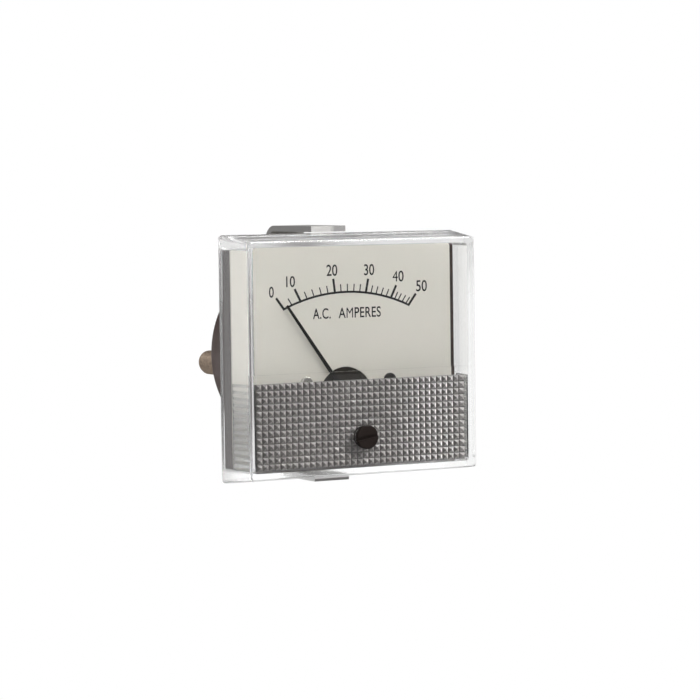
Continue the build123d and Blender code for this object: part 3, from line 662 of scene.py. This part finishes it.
def make_camera():
    """The camera at the photograph's angle, its axes solved from the object's corners."""
    data = bpy.data.cameras.new("camera")
    data.sensor_fit = "HORIZONTAL"
    data.sensor_width = SENSOR_WIDTH
    data.lens = FOCAL_PIXELS / IMAGE_PIXELS * SENSOR_WIDTH
    data.clip_start, data.clip_end = CAMERA_CLIP
    camera = bpy.data.objects.new("camera", data)
    bpy.context.scene.collection.objects.link(camera)
    right, up = Vector(CAMERA_RIGHT).normalized(), Vector(CAMERA_UP).normalized()
    back = right.cross(up).normalized()
    up = back.cross(right).normalized()
    matrix = Matrix((right, up, back)).transposed().to_4x4()
    matrix.translation = Vector(CAMERA_PLACE)
    camera.matrix_world = matrix
    bpy.context.scene.camera = camera


def area_lamp(name, place, size, power):
    """A square lamp that points at the object."""
    data = bpy.data.lights.new(name, "AREA")
    data.shape = "SQUARE"
    data.size = size
    data.energy = power
    lamp = bpy.data.objects.new(name, data)
    bpy.context.scene.collection.objects.link(lamp)
    lamp.location = place
    lamp.rotation_euler = (-Vector(place)).to_track_quat("-Z", "Y").to_euler()


def path_share(tree, *kinds):
    """1 for rays of the named kinds, else 0."""
    path = tree.nodes.new("ShaderNodeLightPath")
    return largest(tree, *(path.outputs[f"Is {kind} Ray"] for kind in kinds))


def mixed(tree, share, first, second):
    """Two shaders mixed by a share from 0 to 1."""
    mix = tree.nodes.new("ShaderNodeMixShader")
    tree.links.new(share, mix.inputs[0])
    tree.links.new(first, mix.inputs[1])
    tree.links.new(second, mix.inputs[2])
    return mix.outputs[0]


# Each span is of a direction's X, Y or Z, and each share says how dark that part of the studio is
EVEN_LEVEL, DIM_LEVEL = 0.75, 0.12
FORWARDS, BAND_HEIGHTS = (0.35, -0.55), (0.42, 0.22)
BEHIND, BEHIND_RISE, BEHIND_FALL, BEHIND_SHARE = (0.25, 0.6), (0.03, 0.19), (0.36, 0.50), 0.95
ASIDE, ASIDE_SHARE = (0.80, 0.95), 0.45
OVERHEAD, OVERHEAD_SHARE = (0.5, 0.8), 0.5
# The key lamp's soft box: the cosines at its edge and core, and its level
BOX_SPAN, BOX_LEVEL = (0.966, 0.980), 6.0


def studio_gradient(tree):
    """White with dark parts: in front, level with the object, and behind, aside and overhead."""
    place = axes(tree, "Generated")
    level_with = ranged(tree, number(tree, "ABSOLUTE", place["Z"]), BAND_HEIGHTS)
    front_band = number(tree, "MULTIPLY", ranged(tree, place["Y"], FORWARDS), level_with)
    above = number(tree, "MINIMUM", ranged(tree, place["Z"], BEHIND_RISE, (0.0, BEHIND_SHARE)),
                   ranged(tree, place["Z"], BEHIND_FALL, (BEHIND_SHARE, 0.0)))
    behind = number(tree, "MULTIPLY", ranged(tree, place["Y"], BEHIND), above)
    aside = ranged(tree, place["X"], ASIDE, (0.0, ASIDE_SHARE))
    overhead = ranged(tree, place["Z"], OVERHEAD, (0.0, OVERHEAD_SHARE))
    dark = largest(tree, front_band, behind, aside, overhead)
    # The key lamp's soft box, as seen through the clear cover
    toward = from_vector(tree, "DOT_PRODUCT", "Generated", Vector(KEY_PLACE).normalized())
    box = ranged(tree, toward, BOX_SPAN, (0.0, BOX_LEVEL))
    return number(tree, "ADD", ranged(tree, dark, (0.0, 1.0), (1.0, DIM_LEVEL)), box)


def make_world():
    """White to camera rays, the studio to mirrored and refracted rays, and else an even light."""
    world = bpy.data.worlds.new("studio")
    bpy.context.scene.world = world
    world.use_nodes = True
    tree = world.node_tree
    tree.nodes.clear()
    out = tree.nodes.new("ShaderNodeOutputWorld")
    even, studio, white = (tree.nodes.new("ShaderNodeBackground") for _ in range(3))
    even.inputs["Strength"].default_value = EVEN_LEVEL
    tree.links.new(studio_gradient(tree), studio.inputs["Strength"])
    white.inputs["Strength"].default_value = 1.0
    for background in (even, studio, white):
        background.inputs["Color"].default_value = (1, 1, 1, 1)
    through = path_share(tree, "Glossy", "Transmission")
    shown = mixed(tree, through, even.outputs[0], studio.outputs[0])
    shown = mixed(tree, path_share(tree, "Camera"), shown, white.outputs[0])
    tree.links.new(shown, out.inputs["Surface"])


FLOOR_HALF, FLOOR_Z, FLOOR_COLOUR = 4.0, -0.30, (0.8, 0.8, 0.8, 1)
FLOOR_DISTANCES, FLOOR_LEVELS = (0.8, 2.5), (0.65, 1.0)
FLOOR_FRONT, FLOOR_FRONT_LEVELS = (-1.2, -2.2), (1.0, 0.30)


def make_floor():
    """A pale floor, white to the camera and dimmer to mirrored rays near the object and in front."""
    mesh = bmesh.new()
    signs = ((-1, -1), (1, -1), (1, 1), (-1, 1))
    mesh.faces.new([mesh.verts.new((x * FLOOR_HALF, y * FLOOR_HALF, FLOOR_Z)) for x, y in signs])
    data = bpy.data.meshes.new("floor")
    mesh.to_mesh(data)
    mesh.free()
    material = bpy.data.materials.new("floor")
    material.use_nodes = True
    tree = material.node_tree
    tree.nodes.clear()
    out = tree.nodes.new("ShaderNodeOutputMaterial")
    diffuse = tree.nodes.new("ShaderNodeBsdfDiffuse")
    diffuse.inputs["Color"].default_value = FLOOR_COLOUR
    away = from_vector(tree, "LENGTH", "Object")
    near = ranged(tree, away, FLOOR_DISTANCES, FLOOR_LEVELS)
    front = ranged(tree, axes(tree, "Object")["Y"], FLOOR_FRONT, FLOOR_FRONT_LEVELS)
    level = number(tree, "MULTIPLY", near, front)
    white = tree.nodes.new("ShaderNodeEmission")
    tree.links.new(largest(tree, level, path_share(tree, "Camera")), white.inputs["Strength"])
    share = path_share(tree, "Camera", "Glossy", "Transmission")
    tree.links.new(mixed(tree, share, diffuse.outputs[0], white.outputs[0]), out.inputs["Surface"])
    data.materials.append(material)
    floor = bpy.data.objects.new("floor", data)
    bpy.context.scene.collection.objects.link(floor)


make_camera()
make_world()
make_floor()
for lamp, settings in LAMPS.items():
    area_lamp(lamp, *settings)

# Light runs round in the clear walls through many total reflections
cycles = bpy.context.scene.cycles
cycles.max_bounces = 40
cycles.glossy_bounces = 32
cycles.transmission_bounces = 32
bpy.context.scene.view_settings.view_transform = "Standard"
